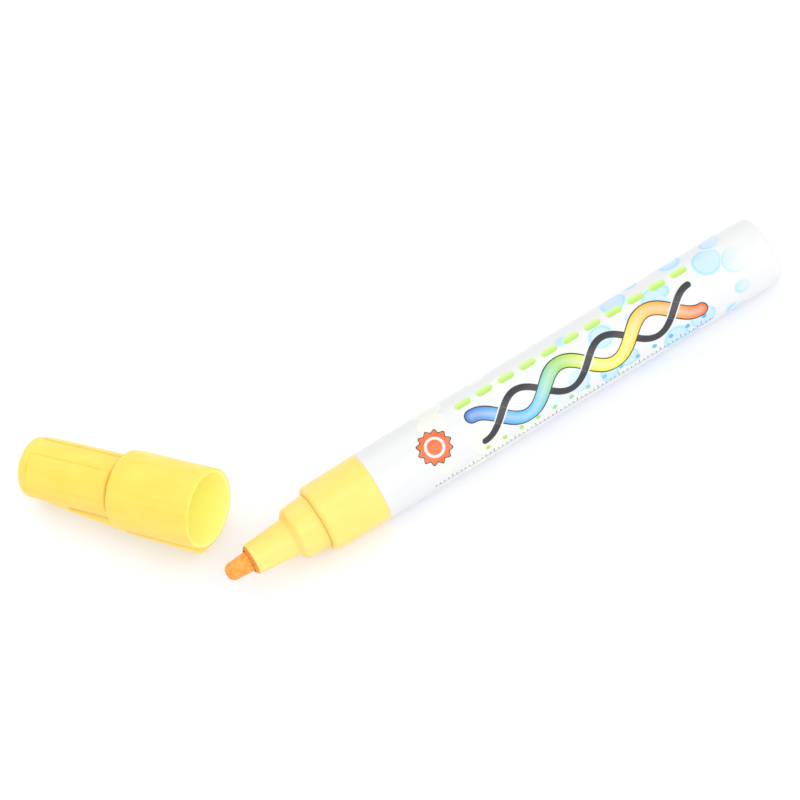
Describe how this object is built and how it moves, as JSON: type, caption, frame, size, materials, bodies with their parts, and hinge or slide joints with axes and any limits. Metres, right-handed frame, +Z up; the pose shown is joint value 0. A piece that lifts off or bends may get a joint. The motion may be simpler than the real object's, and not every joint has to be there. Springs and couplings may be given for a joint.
{
  "type": "board marker",
  "caption": "Board marker with a valve-fed fibre nib, a white tubular ink barrel, a yellow front section and a stepped pull-off cap with a pocket clip, lying beside it.",
  "frame": {"origin": "under the middle of the box round marker and cap, on the surface that both lie on", "axes": "+X along the marker from its nib to its rear end, +Y towards the cap, +Z up"},
  "size_m": [0.1536, 0.0596, 0.0204],
  "materials": {
    "white_lacquer": "white gloss lacquer with a coloured print",
    "yellow_plastic": "satin moulded polypropylene",
    "soft_plastic": "soft matt polyethylene",
    "fibre": "pressed fibre soaked with orange ink",
    "valve_plastic": "natural acetal",
    "seal_rubber": "matt",
    "spring_steel": "drawn stainless wire",
    "ball_steel": "polished"
  },
  "bodies": {
    "pen_body": {"barrel": "white_lacquer", "front_section": "yellow_plastic", "front_seal": "seal_rubber", "valve_seat": "seal_rubber", "valve_spring": "spring_steel", "valve_housing": "valve_plastic", "valve_retainer": "valve_plastic"},
    "nib_unit": {"nib": "fibre", "valve_stem": "valve_plastic"},
    "ball": {"mixing_ball": "ball_steel"},
    "cap": {"cap_shell": "yellow_plastic", "inner_cap": "soft_plastic"},
    "clip": {"cap_clip": "yellow_plastic"}
  },
  "joints": [
    {"name": "nib_press", "type": "slide", "parent": "pen_body", "child": "nib_unit", "axis": [1, 0, 0], "range_m": [0, 0.0022], "stiffness_N_per_m": 1500, "deforming": ["valve_spring"]},
    {"name": "ball_roll", "type": "slide", "parent": "pen_body", "child": "ball", "axis": [1, 0, 0], "range_m": [-0.0227, 0.0528]},
    {"name": "cap_slide", "type": "slide", "parent": "pen_body", "child": "cap", "axis": [-1, 0, 0], "range_m": [0, 0.04]},
    {"name": "clip_flex", "type": "hinge", "parent": "cap", "child": "clip", "pos_m": [-0.06826, 0.01722, 0.0009], "axis": [0.8292, 0.4963, -0.2572], "range_deg": [0, 5], "stiffness_Nm_per_rad": 0.2}
  ]
}
